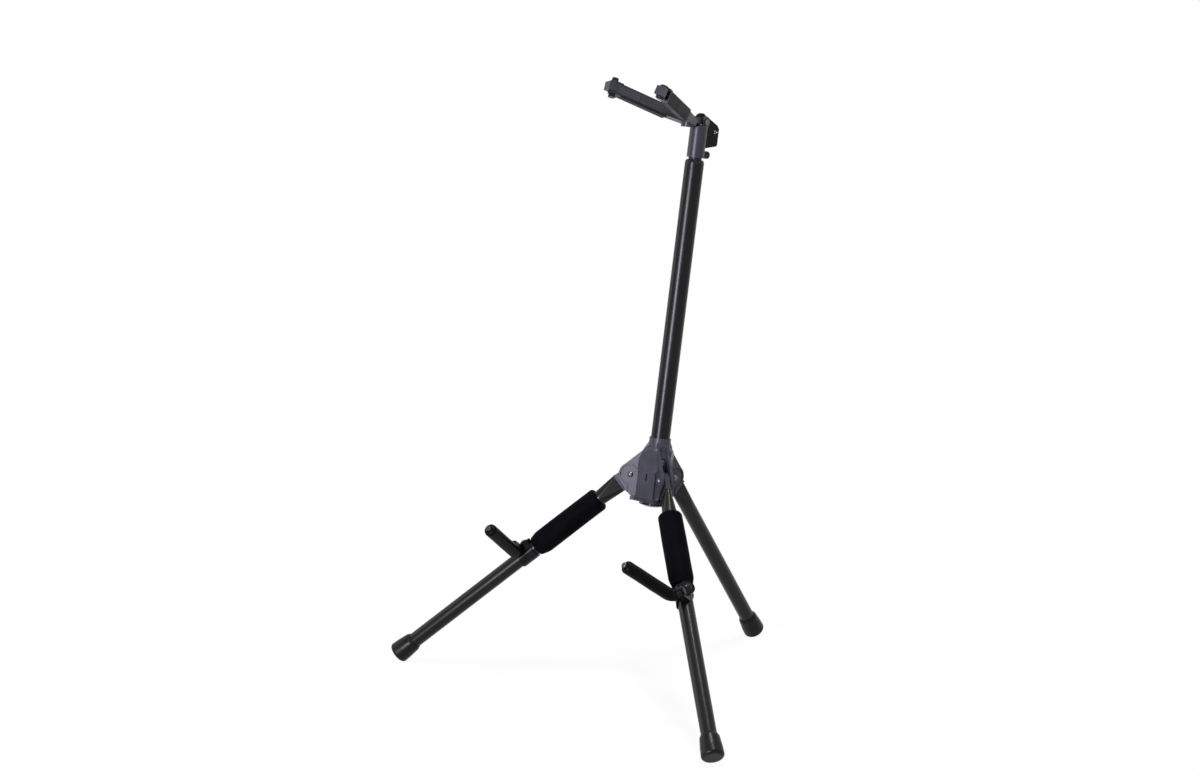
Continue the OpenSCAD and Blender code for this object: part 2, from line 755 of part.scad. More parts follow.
module hook_rod_body() {
    tip = hook_reach + hook_nub;
    root_end = housing_low - clear - hook_cap_seat;
    translate([0, bend_low + seam, 0]) rotate([90, 0, 0])
        cylinder(r = hook_rod_r, h = bend_low + seam - root_end);
    hook_bend_bar(hook_rod_r - seam / 5);
    on_straight() rotate([0, 90, 0]) {
        translate([0, 0, bend_reach - seam]) cylinder(r = hook_rod_r, h = tip - 1 - bend_reach + seam);
        translate([0, 0, tip - 1]) cylinder(r1 = hook_rod_r, r2 = hook_rod_r - 1, h = 1);
    }
}

module hook_rod() {
    color([0.30, 0.26, 0.22]) on_hook() hook_rod_body();
}

module hook_rubber() {
    outer = hook_rubber_d / 2;
    end_round = 5.5;
    color([0.03, 0.03, 0.03]) on_hook() difference() {
        union() {
            hook_bend_bar(outer - 3 * seam);
            on_straight() rotate([0, 90, 0]) rotate_extrude() polygon(concat(
                [[0, bend_reach - seam], [outer, bend_reach - seam]],
                [for (a = [0 : 15 : 90]) [outer - end_round + end_round * cos(a),
                    hook_reach - end_round + end_round * sin(a)]],
                [[0, hook_reach]]
            ));
        }
        hook_rod_body();
    }
}

// Inner tube and head

module inner_tube() {
    color([0.10, 0.10, 0.11]) on_mast() translate([0, 0, inner_low])
        ring(inner_r, inner_r - inner_wall, head_top - head_floor - inner_low);
}

module grip_plug() {
    color([0.75, 0.74, 0.70]) on_mast() translate([0, 0, inner_low - plug_floor]) difference() {
        cylinder(r = mast_bore_r - running, h = plug_height);
        translate([0, 0, plug_floor]) cylinder(r = inner_r, h = plug_height);
    }
}

module yoke_head() {
    color([0.20, 0.20, 0.24]) on_mast() difference() {
        union() {
            translate([0, 0, head_base]) cylinder(r = head_r, h = head_height);
            translate([0, tilt_back, tilt_at]) sideways(head_ear_r, 2 * (head_ear_in + head_ear_t));
            translate([-head_ear_in - head_ear_t, tilt_back - head_ear_r + 1.5, head_top - 3])
                cube([2 * (head_ear_in + head_ear_t), 2 * head_ear_r - 3, tilt_rise + 3]);
            translate([0, 0, knob_at]) rotate([-90, 0, 0]) cylinder(r = knob_r - 1, h = head_r + 1);
        }
        translate([0, 0, head_base - over]) cylinder(r = inner_r + running, h = head_height - head_floor + over);
        translate([0, 0, knob_at]) rotate([-90, 0, 0]) cylinder(r = knob_screw_r + running, h = 2 * head_r);
        translate([0, tilt_back, tilt_at]) sideways(tilt_pin_r, 4 * head_r);
        // Room between the ears for the fork and the lever
        translate([-head_ear_in, -2 * head_r, head_top]) cube([2 * head_ear_in, 4 * head_r, 40]);
        // Sloped front edge, under the fork's travel
        translate([-head_r - over, 0, head_top]) rotate([12, 0, 0]) translate([0, -room, 0])
            cube([2 * (head_r + over), room, 30]);
    }
}

module head_knob() {
    grip_h = knob_out - 2;
    color([0.05, 0.05, 0.05]) on_mast() translate([0, head_r + 1 + clear, knob_at]) rotate([-90, 0, 0]) {
        difference() {
            cylinder(r = knob_r, h = grip_h);
            for (a = [0 : 30 : 330]) rotate([0, 0, a]) translate([knob_r + 0.4, 0, 2])
                cylinder(r = 1, h = grip_h, $fn = 24);
        }
        translate([0, 0, -head_r - 1 - clear + inner_r + clear])
            cylinder(r = knob_screw_r, h = head_r + 1 - inner_r);
    }
}

module yoke_pin() {
    span = 2 * (head_ear_in + head_ear_t);
    color([0.45, 0.45, 0.46]) on_mast() translate([0, tilt_back, tilt_at]) {
        sideways(tilt_pin_r, span);
        for (side = [-1, 1]) translate([side * (span / 2 + 0.7), 0, 0]) sideways(tilt_pin_r + 1.5, 1.4);
    }
}

// Fork, lever and gates

module arm_core() {
    half = arm_w / 2;
    difference() {
        union() {
            translate([0, core_w - half, 0]) rotate([90, 0, 0]) linear_extrude(core_w) polygon([
                [0, -neck_h / 2], [neck_length, -core_h / 2], [lug_start + 1, -core_h / 2],
                [lug_start + 1, core_h / 2], [neck_length, core_h / 2], [0, neck_h / 2]
            ]);
            translate([0, 0, -arm_h / 2]) linear_extrude(arm_h) polygon([
                [lug_start, -half], [gate_pin_x, -half], [gate_pin_x, gate_pin_y + lug_r],
                [gate_pin_x - 5, half], [lug_start, half]
            ]);
            translate([gate_pin_x, gate_pin_y, -arm_h / 2]) cylinder(r = lug_r, h = arm_h);
        }
        // Room for the gate along the inner face, and round its knuckle
        translate([gate_pin_x - gate_length - 1, -arm_w, -gate_h / 2 - clear])
            cube([gate_length + 1, arm_w + gate_back, gate_h + 2 * clear]);
        translate([gate_pin_x - knuckle_room, -room / 2, -gate_h / 2 - clear])
            cube([room, room, gate_h + 2 * clear]);
        translate([gate_pin_x, gate_pin_y, 0]) cylinder(r = gate_pin_r, h = room, center = true);
        translate([0, pull_rod_y, 0]) rotate([0, 90, 0]) cylinder(r = pull_rod_r + running, h = room);
    }
}

module yoke_fork() {
    color([0.24, 0.24, 0.27]) on_mast() difference() {
        union() {
            translate(fork_block) cylinder(r = fork_block_r, h = fork_block_h);
            translate([0, tilt_back, tilt_at]) sideways(head_ear_r + 0.5, 2 * tongue_half);
            translate([-tongue_half, fork_block[1], tilt_at - 3.5])
                cube([2 * tongue_half, tilt_back - fork_block[1], 10]);
        }
        translate([0, tilt_back, tilt_at]) sideways(tilt_pin_r + running, room);
        // Slot that seats the lever plate
        translate([-lever_t / 2, tilt_back - 14, tilt_at - room / 2]) cube([lever_t, room, room]);
        // Seat and way out for the return spring
        translate([-tongue_half - over, tilt_back, tilt_at]) rotate([0, 90, 0])
            cylinder(r = 6, h = tongue_half + over - lever_t / 2);
        translate([-tongue_half - over, tilt_back, tilt_at - 6])
            cube([tongue_half + over - lever_t / 2, room, 8]);
        translate([-room / 2, -13, tilt_at - 3.5 - room]) cube(room);
    }
    color([0.24, 0.24, 0.27]) difference() {
        union() {
            on_arm() arm_core();
            left_side() on_arm() arm_core();
        }
        on_mast() translate([-lever_t / 2, tilt_back - 14, tilt_at - room / 2]) cube([lever_t, room, room]);
    }
}

module yoke_lever() {
    low = head_base + 12;
    color([0.05, 0.05, 0.055]) on_mast() difference() {
        union() {
            translate([0, tilt_back - 4, tilt_at]) sideways(lever_dome_r, lever_t);
            rotate([0, 0, 90]) rotate([90, 0, 0]) linear_extrude(lever_t, center = true) polygon([
                [tilt_back - 4, tilt_at + lever_dome_r - 0.2], [15, tilt_at + 7.7],
                [lever_reach - 4.3, tilt_at - 2.3],
                [lever_reach, tilt_at - 7], [lever_reach, low + 9.5], [lever_reach - 2, low + 7.5],
                [tilt_back - 4, low]
            ]);
        }
        // Clear of the collar and of the fork's block
        translate([-room / 2, -room, tilt_at - 3.5 - room]) cube([room, room + head_r + 0.6, room]);
        translate([-room / 2, tilt_back - 14 - room, tilt_at - room / 2]) cube([room, room, room]);
        translate([0, tilt_back, tilt_at]) sideways(tilt_pin_r + running, room);
        translate([0, lever_hole[0], lever_hole[1]]) sideways(lever_hole_r, room);
    }
}

module yoke_spring() {
    start = [spring_x, tilt_back + 4, tilt_at];
    run = sqrt(pow(lever_hole[0] - start[1], 2) + pow(lever_hole[1] - start[2], 2));
    fall = atan2(start[2] - lever_hole[1], lever_hole[0] - start[1]);
    color([0.62, 0.62, 0.64]) on_mast() {
        translate([-tongue_half, tilt_back, tilt_at]) rotate([0, 90, 0])
            ring(4.7, 3.3, tongue_half - lever_t / 2 - 0.2);
        translate(start) rotate([-90 - fall, 0, 0]) cylinder(r = spring_wire_r, h = run, $fn = 24);
        translate([spring_x - spring_wire_r - 0.2, lever_hole[0], lever_hole[1]]) rotate([0, 90, 0])
            cylinder(r = spring_wire_r + 0.2, h = lever_t + 4 * spring_wire_r, $fn = 24);
    }
}

module arm_rubber() {
    edge = 3;
    color([0.05, 0.05, 0.05]) on_arm() difference() {
        translate([pad_start, 0, 0]) rounded_bar(lug_start - pad_start, arm_w, arm_h, edge);
        translate([-over, -arm_w, -core_h / 2]) cube([lug_start + 2 * over, arm_w / 2 + core_w, core_h]);
    }
}

// A bar along X with rounded long edges
module rounded_bar(length, width, height, edge) {
    translate([0, -width / 2 + edge, -height / 2]) cube([length, width - 2 * edge, height]);
    translate([0, -width / 2, -height / 2 + edge]) cube([length, width, height - 2 * edge]);
    for (y = [-1, 1], z = [-1, 1])
        translate([0, y * (width / 2 - edge), z * (height / 2 - edge)]) rotate([0, 90, 0])
            cylinder(r = edge, h = length);
}

module gate_pin(head_h) {
    translate([gate_pin_x, gate_pin_y, 0]) {
        cylinder(r = gate_pin_r, h = arm_h, center = true);
        for (side = [-1, 1]) translate([0, 0, side * (arm_h + head_h) / 2])
            cylinder(r = gate_pin_r + 2.8, h = head_h, center = true);
    }
}

module gate_pins() {
    color([0.12, 0.12, 0.13]) {
        on_arm() gate_pin(1);
        left_side() on_arm() gate_pin(5);
    }
}

module gate() {
    color([0.27, 0.27, 0.30]) on_arm() difference() {
        union() {
            translate([gate_pin_x, gate_pin_y, 0]) cylinder(r = knuckle_r, h = gate_h, center = true);
            translate([gate_pin_x - gate_length, -arm_w / 2, -gate_h / 2]) cube([gate_length, gate_t, gate_h]);
            translate([gate_pin_x, -arm_w / 2, -gate_h / 2]) cube([gate_pin_back, tab_w, gate_h]);
        }
        translate([gate_pin_x, gate_pin_y, 0]) cylinder(r = gate_pin_r + running, h = 2 * gate_h, center = true);
        for (i = [0 : 5]) translate([gate_pin_x - 4 + 2.4 * i, -arm_w / 2, 0])
            cylinder(r = 0.5, h = 2 * gate_h, center = true, $fn = 16);
    }
}

module pull_rod() {
    rod_end = gate_pin_x - knuckle_room - 0.5;
    color([0.55, 0.55, 0.57]) on_arm() translate([pull_rod_start, pull_rod_y, 0]) rotate([0, 90, 0])
        cylinder(r = pull_rod_r, h = rod_end - pull_rod_start);
}

hub_shell();
hub_base_plate();
base_screws();
leg_rivets();
pivot_washers();
mast_tube();
mast_screws();
mast_cap_bush();
lock_button();
lock_slider();
lock_spring();
on_leg(front_turn) leg_tongue();  // tongue_front_right
on_leg(front_turn) bolted_leg_tube(front_length);  // tube_front_right
on_leg(front_turn) foam_sleeve();  // foam_front_right
above_floor() on_leg(front_turn) leg_foot(front_length);  // foot_front_right
hook_clamp();  // clamp_right
clamp_bolt();  // clamp_bolt_right
hook_cap();  // hook_cap_right
hook_rod();  // hook_rod_right
hook_rubber();  // hook_rubber_right
left_side() on_leg(front_turn) leg_tongue();  // tongue_front_left
left_side() on_leg(front_turn) bolted_leg_tube(front_length);  // tube_front_left
left_side() on_leg(front_turn) foam_sleeve();  // foam_front_left
left_side() above_floor() on_leg(front_turn) leg_foot(front_length);  // foot_front_left
left_side() hook_clamp();  // clamp_left
left_side() clamp_bolt();  // clamp_bolt_left
left_side() hook_cap();  // hook_cap_left
left_side() hook_rod();  // hook_rod_left
left_side() hook_rubber();  // hook_rubber_left
on_leg(rear_turn) leg_tongue();  // tongue_rear
on_leg(rear_turn) leg_tube(rear_length);  // tube_rear
above_floor() on_leg(rear_turn) leg_foot(rear_length);  // foot_rear
inner_tube();
grip_plug();
yoke_head();
head_knob();
yoke_pin();
yoke_fork();
yoke_lever();
yoke_spring();
arm_rubber();  // arm_rubber_right
left_side() arm_rubber();  // arm_rubber_left
gate_pins();
gate();  // gate_right
left_side() gate();  // gate_left
pull_rod();  // pull_rod_right
left_side() pull_rod();  // pull_rod_left
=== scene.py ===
import math
import random

import bmesh
import bpy
from mathutils import Matrix, Vector


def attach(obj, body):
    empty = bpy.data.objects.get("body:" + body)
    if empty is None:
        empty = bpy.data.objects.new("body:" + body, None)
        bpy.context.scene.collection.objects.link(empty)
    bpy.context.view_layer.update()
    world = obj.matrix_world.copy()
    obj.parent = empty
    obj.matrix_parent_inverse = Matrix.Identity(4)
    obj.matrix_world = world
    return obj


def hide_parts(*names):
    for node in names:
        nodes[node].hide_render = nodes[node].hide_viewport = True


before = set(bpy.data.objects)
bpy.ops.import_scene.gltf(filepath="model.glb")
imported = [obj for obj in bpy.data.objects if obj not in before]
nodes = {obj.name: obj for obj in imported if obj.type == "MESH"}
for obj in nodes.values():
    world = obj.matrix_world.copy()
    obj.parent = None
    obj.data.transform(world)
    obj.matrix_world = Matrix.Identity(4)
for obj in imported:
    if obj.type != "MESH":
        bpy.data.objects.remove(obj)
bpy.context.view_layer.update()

MM = 0.001


def toward(azimuth, elevation):
    """Direction from the stand to a place round it. Azimuth 0 looks at its front, from minus Y."""
    a, e = math.radians(azimuth), math.radians(elevation)
    return Vector((math.sin(a) * math.cos(e), -math.cos(a) * math.cos(e), math.sin(e)))


# Camera, solved from the photograph's legs and mast

CAMERA_AZIMUTH, CAMERA_ELEVATION, CAMERA_ROLL = 42.5586, 12.513, 0.4818
CAMERA_TARGET = Vector((-0.060404, -0.059901, 0.431841))
CAMERA_DISTANCE = 3.534134
SENSOR_WIDTH, LENS, FAR_CLIP = 36, 73.085, 100


def add_camera():
    azimuth, roll = math.radians(CAMERA_AZIMUTH), math.radians(CAMERA_ROLL)
    back = toward(CAMERA_AZIMUTH, CAMERA_ELEVATION)
    level = Vector((math.cos(azimuth), math.sin(azimuth), 0))
    upright = back.cross(level)
    side = level * math.cos(roll) + upright * math.sin(roll)
    above = upright * math.cos(roll) - level * math.sin(roll)
    lens = bpy.data.cameras.new("camera")
    lens.sensor_width = SENSOR_WIDTH
    lens.lens = LENS
    lens.clip_end = FAR_CLIP
    camera = bpy.data.objects.new("camera", lens)
    turn = Matrix((side, above, back)).transposed().to_4x4()
    camera.matrix_world = Matrix.Translation(CAMERA_TARGET + back * CAMERA_DISTANCE) @ turn
    bpy.context.scene.collection.objects.link(camera)
    bpy.context.scene.camera = camera


add_camera()

# Frames of the stand, with the sizes of the part's source, in millimetres and degrees

HUB_HEIGHT, HUB_FORWARD, MAST_LEAN = 298, 3.957, 9.5
FRONT_TURN, REAR_TURN = -30, 90
PIVOT_RADIUS, LEG_SPREAD = 36.3, 45
HOOK_OUT, HOOK_ROOT, HOOK_TILT = 23.5, 205.9, 7.6
FORK_ROOT = (5.8, -19.6, 518.4)
ARM_ROLL, ARM_RISE, ARM_SPLAY = 12, 14.5, 18.5
PAD_START, PAD_LENGTH = 40.0, 81.0


def rot(x, y, z):
    return (Matrix.Rotation(math.radians(z), 4, "Z") @ Matrix.Rotation(math.radians(y), 4, "Y")
            @ Matrix.Rotation(math.radians(x), 4, "X"))


def shift(x, y, z):
    return Matrix.Translation((x * MM, y * MM, z * MM))


MAST = shift(0, -HUB_FORWARD, HUB_HEIGHT) @ rot(-MAST_LEAN, 0, 0)
LEFT = Matrix.Diagonal((-1, 1, 1, 1))
RIGHT = Matrix.Identity(4)
# Turns a clamp on its leg until its X stands square to the plane of the two front legs
CLAMP_TURN = math.degrees(math.atan(math.sqrt(3) * math.cos(math.radians(LEG_SPREAD)))) - 180


def leg_frame(turn, hand=RIGHT):
    """Frame at a leg's pivot, with Z along the leg."""
    return hand @ MAST @ rot(0, 0, turn) @ shift(PIVOT_RADIUS, 0, 0) @ rot(0, 180 - LEG_SPREAD, 0)


def hook_frame(leg):
    """Frame at a hook's root, in the clamp on the leg."""
    return leg @ rot(0, 0, CLAMP_TURN) @ shift(HOOK_OUT, 0, HOOK_ROOT) @ rot(0, HOOK_TILT, 0)


LEG = {
    "front_right": leg_frame(FRONT_TURN),
    "front_left": leg_frame(FRONT_TURN, LEFT),
    "rear": leg_frame(REAR_TURN),
}
HOOK = {hand: hook_frame(LEG["front_" + hand]) for hand in ("right", "left")}
ARM_ROOT = shift(*FORK_ROOT) @ rot(-ARM_ROLL, -ARM_RISE, ARM_SPLAY - 90)
ARM = {"right": MAST @ ARM_ROOT, "left": LEFT @ MAST @ ARM_ROOT}

# Shader building

BEVEL_SAMPLES = 4


class Wire:
    """A socket's value, for sums in a material."""

    def __init__(self, graph, socket):
        self.graph, self.socket = graph, socket

    def __add__(self, other):
        return self.graph.math("ADD", self, other)

    __radd__ = __add__

    def __mul__(self, other):
        return self.graph.math("MULTIPLY", self, other)

    __rmul__ = __mul__

    def __sub__(self, other):
        return self.graph.math("SUBTRACT", self, other)

    def __rsub__(self, other):
        return self.graph.math("SUBTRACT", other, self)

    def __abs__(self):
        return self.graph.math("ABSOLUTE", self)


class Graph:
    """The nodes of a material or of the world."""

    def __init__(self, tree, output):
        self.tree = tree
        tree.nodes.clear()
        self.out = tree.nodes.new("ShaderNode" + output)

    def plug(self, value, socket):
        if isinstance(value, Wire):
            self.tree.links.new(value.socket, socket)
        else:
            socket.default_value = value

    def node(self, kind, settings=None, sockets=None, output=0):
        n = self.tree.nodes.new("ShaderNode" + kind)
        for key, value in (settings or {}).items():
            setattr(n, key, value)
        for key, value in (sockets or {}).items():
            self.plug(value, n.inputs[key])
        return Wire(self, n.outputs[output])

    def math(self, kind, *values):
        return self.node("Math", {"operation": kind}, dict(enumerate(values)))

    def clamp(self, value):
        return self.node("Clamp", None, {0: value})

    def place(self):
        """Position in the stand's frame, in metres, the same in every pose."""
        return self.node("TexCoord", None, None, "Object")

    def split(self, vector):
        return [self.node("SeparateXYZ", None, {0: vector}, i) for i in range(3)]

    def join(self, x, y, z):
        return self.node("CombineXYZ", None, {0: x, 1: y, 2: z})

    def folded(self):
        """Position with the left half laid over the right one."""
        x, y, z = self.split(self.place())
        return self.join(abs(x), y, z)

    def local(self, frame_matrix, where):
        """Position in one of the frames above, in millimetres."""
        parts = []
        for row in frame_matrix.inverted()[:3]:
            sockets = {0: where, 1: tuple(row[:3])}
            along = self.node("VectorMath", {"operation": "DOT_PRODUCT"}, sockets, "Value")
            parts.append((along + row[3]) * 1000)
        return parts

    def noise(self, where, scale, detail=3, rough=0.55):
        """Noise with its scale in repeats per metre where the position is in metres."""
        sockets = {"Vector": where, "Scale": scale, "Detail": detail, "Roughness": rough}
        return self.node("TexNoise", None, sockets)

    def mix(self, amount, a, b):
        """Colour a to b."""
        return self.node("Mix", {"data_type": "RGBA"}, {0: amount, 6: a, 7: b}, 2)

    def spread(self, value, low, high, to_low=0.0, to_high=1.0):
        return self.node("MapRange", None, {0: value, 1: low, 2: high, 3: to_low, 4: to_high})

    def looked_at(self):
        """1 for the rays that show the background: the camera's, off gloss and through glass."""
        rays = ("Is Camera Ray", "Is Glossy Ray", "Is Transmission Ray")
        camera, glossy, through = [self.node("LightPath", None, None, ray) for ray in rays]
        return self.math("MAXIMUM", self.math("MAXIMUM", camera, glossy), through)


class Finish(Graph):
    """A material on one principled shader."""

    def __init__(self, name):
        self.material = bpy.data.materials.new(name)
        self.material.use_nodes = True
        super().__init__(self.material.node_tree, "OutputMaterial")
        self.shader = self.tree.nodes.new("ShaderNodeBsdfPrincipled")
        self.tree.links.new(self.shader.outputs[0], self.out.inputs["Surface"])

    def done(self, color, rough, height=None, bump=0.3, depth=0.0001, round_edge=None, **constants):
        """The material. Depth is in metres, round_edge in millimetres."""
        self.plug(color, self.shader.inputs["Base Color"])
        self.plug(rough, self.shader.inputs["Roughness"])
        normal = None
        if round_edge:
            normal = self.node("Bevel", {"samples": BEVEL_SAMPLES}, {"Radius": round_edge * MM})
        if height is not None:
            sockets = {"Height": height, "Strength": bump, "Distance": depth}
            if normal is not None:
                sockets["Normal"] = normal
            normal = self.node("Bump", None, sockets)
        if normal is not None:
            self.plug(normal, self.shader.inputs["Normal"])
        for key, value in constants.items():
            self.shader.inputs[key.replace("_", " ")].default_value = value
        return self.material


def rgb(r, g, b):
    return (r, g, b, 1)


def brighter(color, factor, plus=0.0):
    return rgb(*[min(1, c * factor + plus) for c in color[:3]])


# Finishes

MOULD_FLOW, MOULD_SPECK, MOULD_GRAIN = 60, 420, 1500
TIP_BLACK, TIP_FADE = rgb(0.008, 0.008, 0.010), 1.5
COAT_SMEAR, COAT_PEEL = 18, 420
TUBE_BLOTCH, LINES_PER_RADIAN, LINES_PER_MM = 22, 24, 0.02
RUBBER_BLOOM = 45
FOAM_LUMP, FOAM_PORE, FOAM_GRAIN = 70, 900.0, 1600
FOAM_BLACK, FOAM_GREY = rgb(0.0004, 0.0004, 0.0008), rgb(0.0018, 0.0018, 0.0028)
STEEL_CLOUD, STEEL_GRAIN, STEEL_EDGE = 260, 1400, 0.3


def moulded(name, color, light, rough=0.42, grain=0.3, edge=0.5, gloss=0.3, dark_tip=False):
    """Moulded nylon: a fine spark-eroded grain, faint flow mottling and softened edges."""
    g = Finish(name)
    p = g.place()
    flow = g.noise(p, MOULD_FLOW, 4)
    fine = g.noise(p, MOULD_GRAIN, 3, 0.6)
    speck = g.noise(p, MOULD_SPECK, 2)
    tone = g.clamp(g.spread(flow, 0.35, 0.68) * 0.7 + g.spread(speck, 0.4, 0.7) * 0.3)
    r = rough + g.spread(fine, 0.3, 0.7) * 0.03 - g.spread(flow, 0.3, 0.7) * 0.03
    shade = g.mix(tone, color, light)
    if dark_tip:
        # Beyond its pad the arm is as black as the pad
        along = g.local(ARM["right"], g.folded())[0]
        pad_end = PAD_START + PAD_LENGTH
        tip = g.clamp(g.spread(along, pad_end - TIP_FADE, pad_end))
        shade = g.mix(tip, shade, TIP_BLACK)
        r = r + tip * 0.12
    height = fine + flow * 0.4
    return g.done(shade, r, height, bump=0.25 * grain, depth=0.00012, round_edge=edge,
                  Specular_IOR_Level=gloss)


def coated(name, color, rough, gloss=0.14):
    """Gloss powder coat with a faint orange peel and fine dust in the sheen."""
    g = Finish(name)
    p = g.place()
    peel = g.noise(p, COAT_PEEL, 2)
    smear = g.noise(p, COAT_SMEAR, 4)
    r = rough + g.spread(smear, 0.35, 0.7) * 0.04
    tint = g.mix(g.spread(smear, 0.3, 0.75), color, brighter(color, 1.5, 0.001))
    return g.done(tint, r, peel, bump=0.015, depth=0.0001, Specular_IOR_Level=gloss)


def drawn_tube(name, frame_matrix, color, light):
    """Black lacquered tube with fine lines drawn along its length."""
    g = Finish(name)
    x, y, z = g.local(frame_matrix, g.place())
    angle = g.math("ARCTAN2", y, x)
    lines = g.noise(g.join(angle * LINES_PER_RADIAN, z * LINES_PER_MM, 0.0), 1.0, 4, 0.7)
    blotch = g.noise(g.place(), TUBE_BLOTCH, 4)
    tone = g.clamp(g.spread(lines, 0.3, 0.72) * 0.5 + g.spread(blotch, 0.35, 0.7) * 0.5)
    r = 0.27 + g.spread(lines, 0.3, 0.7) * 0.03
    shade = g.mix(tone, color, light)
    return g.done(shade, r, lines, bump=0.02, depth=0.00005, Specular_IOR_Level=0.22)


def rubber(name, color, light, rough, grain, bump, edge=None, gloss=0.06):
    """Smooth black rubber with a faint bloom."""
    g = Finish(name)
    p = g.place()
    bloom = g.noise(p, RUBBER_BLOOM, 5)
    fine = g.noise(p, grain, 3)
    r = rough + g.spread(bloom, 0.3, 0.7) * 0.14
    tone = g.clamp(g.spread(bloom, 0.42, 0.75) * 0.8 + g.spread(fine, 0.4, 0.75) * 0.2)
    shade = g.mix(tone, color, light)
    return g.done(shade, r, fine + bloom, bump, depth=0.00015, round_edge=edge,
                  Specular_IOR_Level=gloss)


def foam_skin(name):
    """Closed-cell foam: open pores on a matt black skin, with painted shade darkening each pore."""
    g = Finish(name)
    p = g.place()
    pores = g.node("TexVoronoi", {"feature": "F1"}, {"Vector": p, "Scale": FOAM_PORE}, "Distance")
    soft = g.noise(p, FOAM_LUMP, 4)
    fine = g.noise(p, FOAM_GRAIN, 3)
    hole = g.clamp(g.spread(pores, 0.05, 0.5))
    # Painted shade: the colour darkens towards each pore's middle, where the bump sinks, mixed half
    # and half with a random tone
    tone = g.clamp(hole * 0.5 + g.spread(soft, 0.35, 0.75) * 0.5)
    shade = g.mix(tone, FOAM_BLACK, FOAM_GREY)
    r = 0.7 - hole * 0.05
    height = hole * 0.6 + fine * 0.3 + soft * 0.5
    return g.done(shade, r, height, bump=0.4, depth=0.0003, Specular_IOR_Level=0.02)


def steel(name, color, rough):
    """Plated or blackened steel, slightly clouded."""
    g = Finish(name)
    p = g.place()
    cloud = g.noise(p, STEEL_CLOUD, 4)
    fine = g.noise(p, STEEL_GRAIN, 2)
    shade = g.mix(g.spread(cloud, 0.35, 0.7), color, brighter(color, 1.5))
    r = rough + g.spread(fine, 0.3, 0.7) * 0.12
    return g.done(shade, r, fine, bump=0.1, depth=0.00006, round_edge=STEEL_EDGE, Metallic=1.0)


hub_nylon = moulded("hub_nylon", rgb(0.020, 0.020, 0.028), rgb(0.034, 0.034, 0.046),
                    rough=0.36, grain=0.01, gloss=0.26)
plate_nylon = moulded("plate_nylon", rgb(0.015, 0.015, 0.022), rgb(0.027, 0.027, 0.038),
                      rough=0.38, grain=0.03, gloss=0.22)
head_nylon = moulded("head_nylon", rgb(0.011, 0.011, 0.017), rgb(0.020, 0.020, 0.030),
                     rough=0.34, grain=0.03, gloss=0.33)
fork_nylon = moulded("fork_nylon", rgb(0.015, 0.015, 0.019), rgb(0.028, 0.028, 0.035),
                     rough=0.29, grain=0.04, gloss=0.32, dark_tip=True)
gate_nylon = moulded("gate_nylon", rgb(0.020, 0.021, 0.027), rgb(0.036, 0.037, 0.047),
                     rough=0.32, edge=0.3, gloss=0.28)
lever_nylon = moulded("lever_nylon", rgb(0.003, 0.003, 0.003), rgb(0.008, 0.007, 0.007),
                      rough=0.36, gloss=0.08)
clamp_nylon = moulded("clamp_nylon", rgb(0.002, 0.002, 0.003), rgb(0.006, 0.006, 0.008),
                      rough=0.2, grain=0.15, gloss=0.11)
knob_plastic = moulded("knob_plastic", rgb(0.004, 0.004, 0.005), rgb(0.009, 0.009, 0.010),
                       rough=0.35, gloss=0.15)
white_nylon = moulded("white_nylon", rgb(0.55, 0.54, 0.50), rgb(0.70, 0.69, 0.64), rough=0.5)
mast_coat = coated("mast_coat", rgb(0.0006, 0.0005, 0.0008), rough=0.28, gloss=0.2)
cap_gloss = coated("cap_gloss", rgb(0.002, 0.002, 0.003), rough=0.14, gloss=0.26)
inner_coat = coated("inner_coat", rgb(0.012, 0.012, 0.013), rough=0.3)
red_gloss = coated("red_gloss", rgb(0.42, 0.012, 0.02), rough=0.3)
dark_steel = steel("dark_steel", rgb(0.10, 0.10, 0.105), rough=0.2)
bright_steel = steel("bright_steel", rgb(0.45, 0.45, 0.46), rough=0.22)
bolt_black = steel("bolt_black", rgb(0.016, 0.016, 0.018), rough=0.2)
rod_bronze = steel("rod_bronze", rgb(0.055, 0.046, 0.038), rough=0.3)
foot_rubber = rubber("foot_rubber", rgb(0.002, 0.002, 0.002), rgb(0.006, 0.006, 0.006),
                     rough=0.28, grain=700, bump=0.12, edge=0.6, gloss=0.15)
hook_rubber = rubber("hook_rubber", rgb(0.0008, 0.0008, 0.0012), rgb(0.003, 0.003, 0.0035),
                     rough=0.35, grain=1100, bump=0.1, gloss=0.05)
arm_rubber = rubber("arm_rubber", rgb(0.006, 0.0055, 0.005), rgb(0.013, 0.012, 0.011),
                    rough=0.42, grain=1100, bump=0.15, gloss=0.13)
TUBE_BLACK, TUBE_WORN = rgb(0.0008, 0.0006, 0.0004), rgb(0.0024, 0.0019, 0.0014)

PAINT = {
    "hub_shell": hub_nylon, "hub_base_plate": plate_nylon,
    "base_screws": dark_steel, "leg_rivets": dark_steel, "pivot_washers": white_nylon,
    "mast_tube": mast_coat, "mast_screws": dark_steel, "mast_cap_bush": cap_gloss,
    "lock_button": cap_gloss, "lock_slider": red_gloss, "lock_spring": bright_steel,
    "inner_tube": inner_coat, "grip_plug": white_nylon,
    "yoke_head": head_nylon, "head_knob": knob_plastic, "yoke_pin": dark_steel,
    "yoke_fork": fork_nylon, "yoke_lever": lever_nylon, "yoke_spring": bright_steel,
    "gate_pins": bolt_black, "gate_right": gate_nylon, "gate_left": gate_nylon,
    "pull_rod_right": bright_steel, "pull_rod_left": bright_steel,
}
for leg in LEG:
    PAINT["tongue_" + leg] = plate_nylon
    PAINT["tube_" + leg] = drawn_tube("leg_tube_" + leg, LEG[leg], TUBE_BLACK, TUBE_WORN)
    PAINT["foot_" + leg] = foot_rubber
